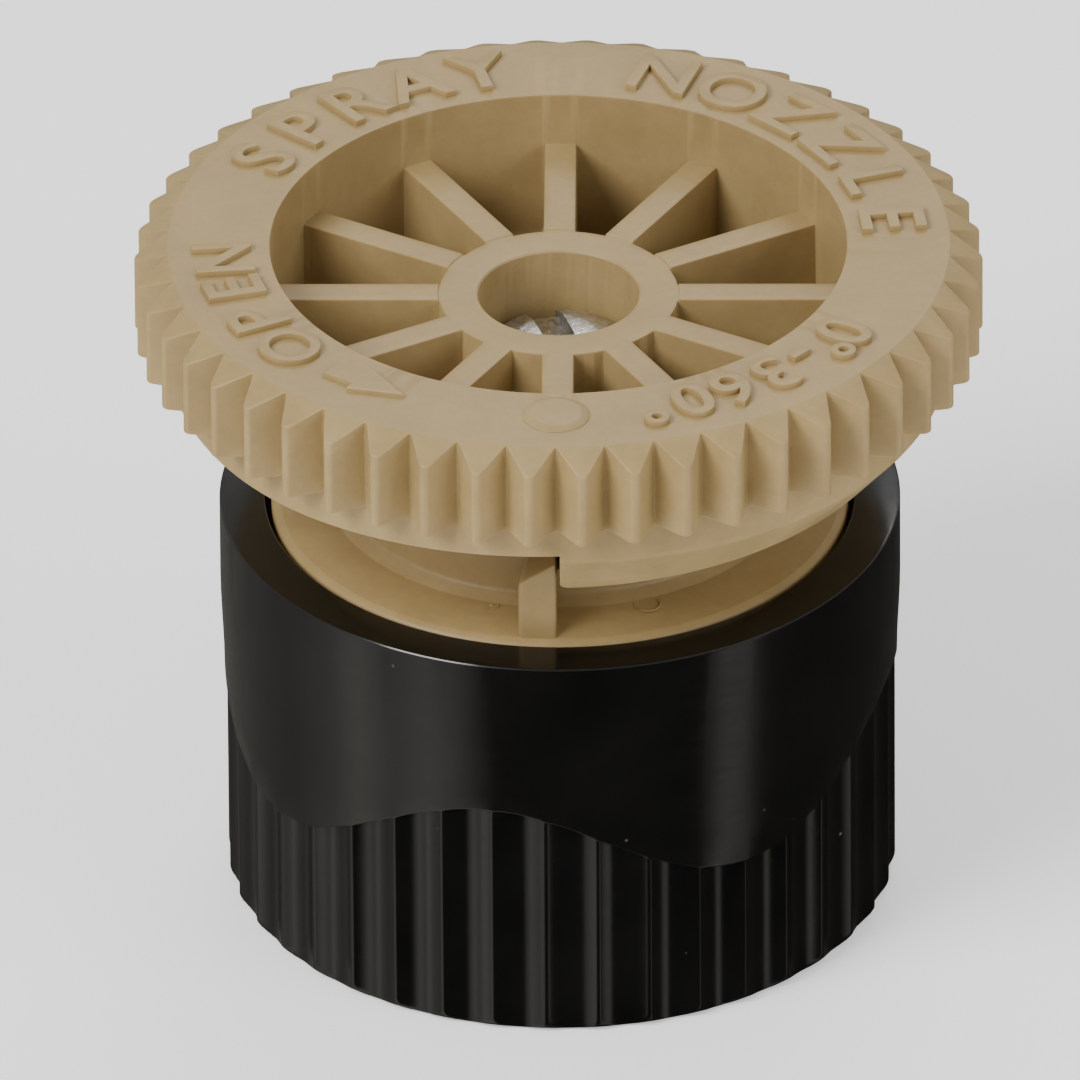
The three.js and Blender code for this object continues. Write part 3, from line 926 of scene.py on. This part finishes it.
def letter(character, size):
    """A raised letter, centred on its own middle, as a mesh in metres."""
    curve = bpy.data.curves.new("letter", "FONT")
    curve.body = character
    curve.size = size * MM
    curve.offset = LETTER_WEIGHT * MM
    curve.extrude = 0.5 * (MARK_HEIGHT + MARK_SUNK) * MM
    curve.bevel_depth = 0.035 * MM
    curve.bevel_resolution = 1
    curve.align_x = "CENTER"
    curve.resolution_u = 6
    text = bpy.data.objects.new("letter", curve)
    bpy.context.scene.collection.objects.link(text)
    depsgraph = bpy.context.evaluated_depsgraph_get()
    mesh = bpy.data.meshes.new_from_object(text.evaluated_get(depsgraph))
    bpy.data.objects.remove(text)
    work = bmesh.new()
    work.from_mesh(mesh)
    bmesh.ops.remove_doubles(work, verts=work.verts, dist=0.002 * MM)
    bmesh.ops.dissolve_degenerate(work, edges=work.edges, dist=0.001 * MM)
    work.to_mesh(mesh)
    work.free()
    return mesh


def word(name, letters, cap_height):
    """One piece from (character, angle) letters round the rim."""
    made = []
    lift = 0.5 * (MARK_HEIGHT - MARK_SUNK)
    for character, angle in letters:
        obj = bpy.data.objects.new(name, letter(character, cap_height / FONT_CAP))
        bpy.context.scene.collection.objects.link(obj)
        obj.data.transform(Matrix.Translation(Vector((0, -cap_height / 2, lift)) * MM))
        on_rim(obj, angle, LETTER_REACH)
        made.append(obj)
    whole = bmesh.new()
    for obj in made:
        whole.from_mesh(obj.data)
        bpy.data.objects.remove(obj)
    mesh = bpy.data.meshes.new(name)
    whole.to_mesh(mesh)
    whole.free()
    obj = bpy.data.objects.new(name, mesh)
    bpy.context.scene.collection.objects.link(obj)
    return finished(obj, "collar", "tan_plastic", TAN)


def spaced(text, start, end):
    """The text's letters at even angles from start to end."""
    return list(zip(text, spread(start, end, len(text) - 1)))


def arrow():
    """A block arrow that points counter-clockwise, along the rim."""
    tip, neck, tail = -1.85, 0.15, 1.5
    wing, half = 0.85, 0.48
    upper = [(neck, wing), (neck, half), (tail, half)]
    outline = [(tip, 0)] + upper + [(x, -y) for x, y in reversed(upper)]
    levels = [(-MARK_SUNK, 1.0), (MARK_HEIGHT - 0.05, 0.97), (MARK_HEIGHT, 0.9)]
    points = [(x * share, y * share, z) for z, share in levels for x, y in outline]
    count = len(outline)
    faces = [tuple(range(count)), tuple(reversed(range(2 * count, 3 * count)))]
    for level in (0, count):
        for i in range(count):
            k = (i + 1) % count
            faces.append((level + k, level + i, level + count + i, level + count + k))
    obj = mesh_object("open_arrow", points, faces)
    on_rim(obj, ARROW_ANGLE, MARK_REACH)
    return finished(obj, "collar", "tan_plastic", TAN)


def arc_dot():
    """The low dome that marks the moving end of the arc."""
    radius = 1.22
    obj = turned("arc_mark_dome", [
        (0, -0.1),
        (radius, -0.1),
        (radius, 0.03, 0.05),
        (0.75 * radius, 0.15, 0.3),
        (0, 0.22),
    ], columns=48)
    on_rim(obj, 0, MARK_REACH)
    return finished(obj, "collar", "tan_plastic", TAN)


def make_marks():
    word("open_lettering", [("O", -52.3), ("P", -62.6), ("E", -73.7), ("N", -83.7)], CAP_HEIGHT)
    degrees = [("0", 58), ("°", 53), ("-", 47.6), ("3", 40), ("6", 31.6), ("0", 23.7), ("°", 16.3)]
    word("arc_range_lettering", degrees, CAP_HEIGHT)
    word("spray_lettering", spaced("SPRAY", -118, -166), TALL_CAP_HEIGHT)
    word("nozzle_lettering", spaced("NOZZLE", 162, 97), TALL_CAP_HEIGHT)
    arrow()
    arc_dot()


# ---- Screw, plug and seals ----

def make_screw():
    s = SCREW
    low, high = SCREW_LOW.z, SCREW_HIGH.z
    threaded = spread(low + 0.35, s["thread_top"], round((s["thread_top"] - low) / s["pitch"] * 14))

    def shank(angle, z):
        phase = ((z - s["pitch"] * angle / 360) / s["pitch"]) % 1
        cut = ease(1 - abs(2 * phase - 1) * 1.1)
        run_out = ease((s["thread_top"] - z) / 0.4)
        return s["shank"] - (s["shank"] - s["root"]) * cut * run_out

    def outline(angle):
        point = [(0.0, low), (s["root"] - 0.2, low), (s["root"] - 0.05, low + 0.12)]
        shaft = [(shank(angle, z), z) for z in threaded]
        head = rounded([
            (s["shank"], s["under"] - 0.5),
            (s["shank"], s["under"], 0.08),
            (s["head"], s["under"], 0.08),
            (s["head"], high - 0.42, 0.15),
            (0.6 * s["head"], high - 0.08, 0.8),
            (0.0, high),
        ])
        return point + shaft + head

    loft = Loft()
    loft.bands(loft.rows(spread(0, 360, 72)[:-1], outline))
    screw = loft.object("flow_screw_steel")
    reach = 2 * s["head"]
    slot = block("slot", SLOT["turn"], -reach, reach, SLOT["width"], high - SLOT["depth"], high + 1)
    carve(screw, [slot], "DIFFERENCE")
    finished(screw, "screw", "stainless", STEEL, "flow_screw")
    retainer = turned("screw_retainer_ring", [
        (RETAINER_HIGH.x, RETAINER_LOW.z, 0.05),
        (RETAINER_HIGH.x, RETAINER_HIGH.z, 0.05),
        (RETAINER_BORE, RETAINER_HIGH.z, 0.05),
        (RETAINER_BORE, RETAINER_LOW.z, 0.05),
    ])
    finished(retainer, "screw", "stainless", STEEL, "screw_retainer")


def make_plug():
    p = PLUG
    outer = PLUG_HIGH.x
    plug = turned("throttle_plug_moulding", [
        (p["bore"], PLUG_LOW.z, 0.1),
        (p["hub"], PLUG_LOW.z, 0.25),
        (p["hub"], p["web"], 0.2),
        (outer, p["web"], 0.15),
        (outer, PLUG_HIGH.z, 0.15),
        (p["recess"], PLUG_HIGH.z, 0.15),
        (p["recess"], p["floor"], 0.15),
        (p["bore"], p["floor"], 0.1),
    ])
    notches = [block("notch", 360 * i / WEBS, NOTCH["inner"], outer + 1, NOTCH["width"], p["web"] - 1,
                     PLUG_HIGH.z + 1) for i in range(WEBS)]
    carve(plug, notches, "DIFFERENCE")
    return finished(plug, "throttle", "plug_black", SATIN_BLACK, "throttle_plug")


def seal(name, ring, body, node):
    """A ring of round section."""
    loft = Loft()
    around_section = [(ring["centre"] + ring["half"] * math.cos(math.radians(t)),
                       ring["z"] + ring["half"] * math.sin(math.radians(t))) for t in spread(0, 360, 20)[:-1]]
    rings = loft.rows(spread(0, 360, 72)[:-1], lambda angle: around_section)
    loft.bands(rings + rings[:1])
    return finished(loft.object(name), body, "rubber", RUBBER, node, sharp=60)


def make_seals():
    seal("collar_seal", COLLAR_RING, "collar_lift", "collar_o_ring")
    seal("screw_seal", SCREW_RING, "body", "screw_o_ring")
    low, high = GASKET_LOW.z, GASKET_HIGH.z
    outer, inner = GASKET_HIGH.x, GASKET_BORE
    gasket = turned("riser_gasket_rubber", [(inner, low, 0.08), (outer, low, 0.08), (outer, high, 0.08),
                                            (inner, high, 0.08)])
    finished(gasket, "body", "rubber", RUBBER, "riser_gasket")


# ---- Camera, floor and light ----

SKY = (0.5, 0.495, 0.485, 1)
FLOOR_GLOW = 0.45
LIGHT_TARGET = Vector((0, 0, 0.015))
# The studio round the object and below the horizon, as gloss sees it: degrees from the front, and how pale.
CARDS = [(-180, 0.12), (-135, 0.2), (-105, 0.25), (-85, 0.5), (-72, 1.0), (-60, 0.6), (-45, 1.0), (-33, 0.6),
         (-24, 0.03), (50, 0.03), (58, 0.8), (66, 0.6), (74, 0.04), (180, 0.05)]


def set_camera():
    """A long lens, a little to the right of the front and 31.5 degrees up."""
    distance = 1.5
    elevation, azimuth, roll = math.radians(31.5), math.radians(0.6), math.radians(-0.35)
    towards = Vector((math.sin(azimuth) * math.cos(elevation), -math.cos(azimuth) * math.cos(elevation),
                      math.sin(elevation)))
    data = bpy.data.cameras.new("camera")
    data.lens = 1376
    data.sensor_width = 36
    data.clip_start = 0.1
    data.clip_end = 10
    camera = bpy.data.objects.new("camera", data)
    bpy.context.scene.collection.objects.link(camera)
    facing = towards.to_track_quat("Z", "Y").to_matrix()
    turn = facing @ Matrix.Rotation(roll, 3, "Z")
    middle = Vector((0, 0, 0.5 * COLLAR_TOP * MM))
    aim = middle + facing @ Vector((-0.73, 0.4, 0)) * MM
    camera.matrix_world = Matrix.Translation(aim + towards * distance) @ turn.to_4x4()
    bpy.context.scene.camera = camera


def area_light(name, angle, height, distance, size, power):
    """A round white lamp that faces the object. Its places and size are in metres, its power in watts."""
    data = bpy.data.lights.new(name, "AREA")
    data.shape = "DISK"
    data.size = size
    data.energy = power
    light = bpy.data.objects.new(name, data)
    bpy.context.scene.collection.objects.link(light)
    light.location = Vector(around(angle, distance, height))
    light.rotation_euler = (LIGHT_TARGET - light.location).to_track_quat("-Z", "Y").to_euler()


def make_floor():
    """A pale floor that gives a little light of its own and that gloss on the object doesn't see."""
    half = 3.0  # metres
    level = -0.02 * MM  # a hair below the base, so that the two faces don't fight
    corners = [(-half, -half, level), (half, -half, level), (half, half, level), (-half, half, level)]
    mesh = bpy.data.meshes.new("floor")
    mesh.from_pydata(corners, [], [(0, 1, 2, 3)])
    floor = bpy.data.objects.new("floor", mesh)
    bpy.context.scene.collection.objects.link(floor)
    material, shader, _, _ = node_material("pale_floor")
    shader.inputs["Base Color"].default_value = (0.9, 0.9, 0.9, 1)
    shader.inputs["Roughness"].default_value = 0.9
    shader.inputs["Emission Color"].default_value = (1, 1, 1, 1)
    shader.inputs["Emission Strength"].default_value = FLOOR_GLOW
    mesh.materials.append(material)
    floor.visible_glossy = False


def make_world():
    """Soft light from above the horizon, and the cards below it.

    The floor hides the cards from everything but gloss on the object.
    """
    world = bpy.data.worlds.new("studio")
    world.use_nodes = True
    tree = world.node_tree

    def add(kind, **settings):
        node = tree.nodes.new(kind)
        for key, value in settings.items():
            setattr(node, key, value)
        return node

    parts = add("ShaderNodeSeparateXYZ")
    tree.links.new(add("ShaderNodeTexCoord").outputs["Generated"], parts.inputs[0])
    front = add("ShaderNodeMath", operation="MULTIPLY")
    front.inputs[1].default_value = -1
    tree.links.new(parts.outputs["Y"], front.inputs[0])
    angle = add("ShaderNodeMath", operation="ARCTAN2")
    tree.links.new(parts.outputs["X"], angle.inputs[0])
    tree.links.new(front.outputs[0], angle.inputs[1])
    share = add("ShaderNodeMapRange")
    share.inputs["From Min"].default_value = -math.pi
    share.inputs["From Max"].default_value = math.pi
    tree.links.new(angle.outputs[0], share.inputs["Value"])
    cards = add("ShaderNodeValToRGB")
    elements = cards.color_ramp.elements
    while len(elements) < len(CARDS):
        elements.new(0.5)
    for element, (turn, grey) in zip(elements, CARDS):
        element.position = turn / 360 + 0.5
        element.color = (grey, 0.97 * grey, 0.89 * grey, 1)
    tree.links.new(share.outputs["Result"], cards.inputs["Fac"])
    above = add("ShaderNodeMath", operation="GREATER_THAN")
    above.inputs[1].default_value = 0
    tree.links.new(parts.outputs["Z"], above.inputs[0])
    whole = add("ShaderNodeMix", data_type="RGBA")
    tree.links.new(above.outputs[0], whole.inputs["Factor"])
    tree.links.new(cards.outputs["Color"], whole.inputs[6])
    whole.inputs[7].default_value = SKY
    tree.links.new(whole.outputs[2], tree.nodes["Background"].inputs["Color"])
    bpy.context.scene.world = world


def make_light():
    area_light("key", -50, 0.6, 0.65, 0.45, 8)
    area_light("fill", 60, 0.4, 0.8, 0.6, 3)
    area_light("back", 170, 0.7, 0.6, 0.5, 2.5)


make_base()
make_seat()
make_post()
make_collar()
make_marks()
make_screw()
make_plug()
make_seals()
make_floor()
make_world()
make_light()
set_camera()
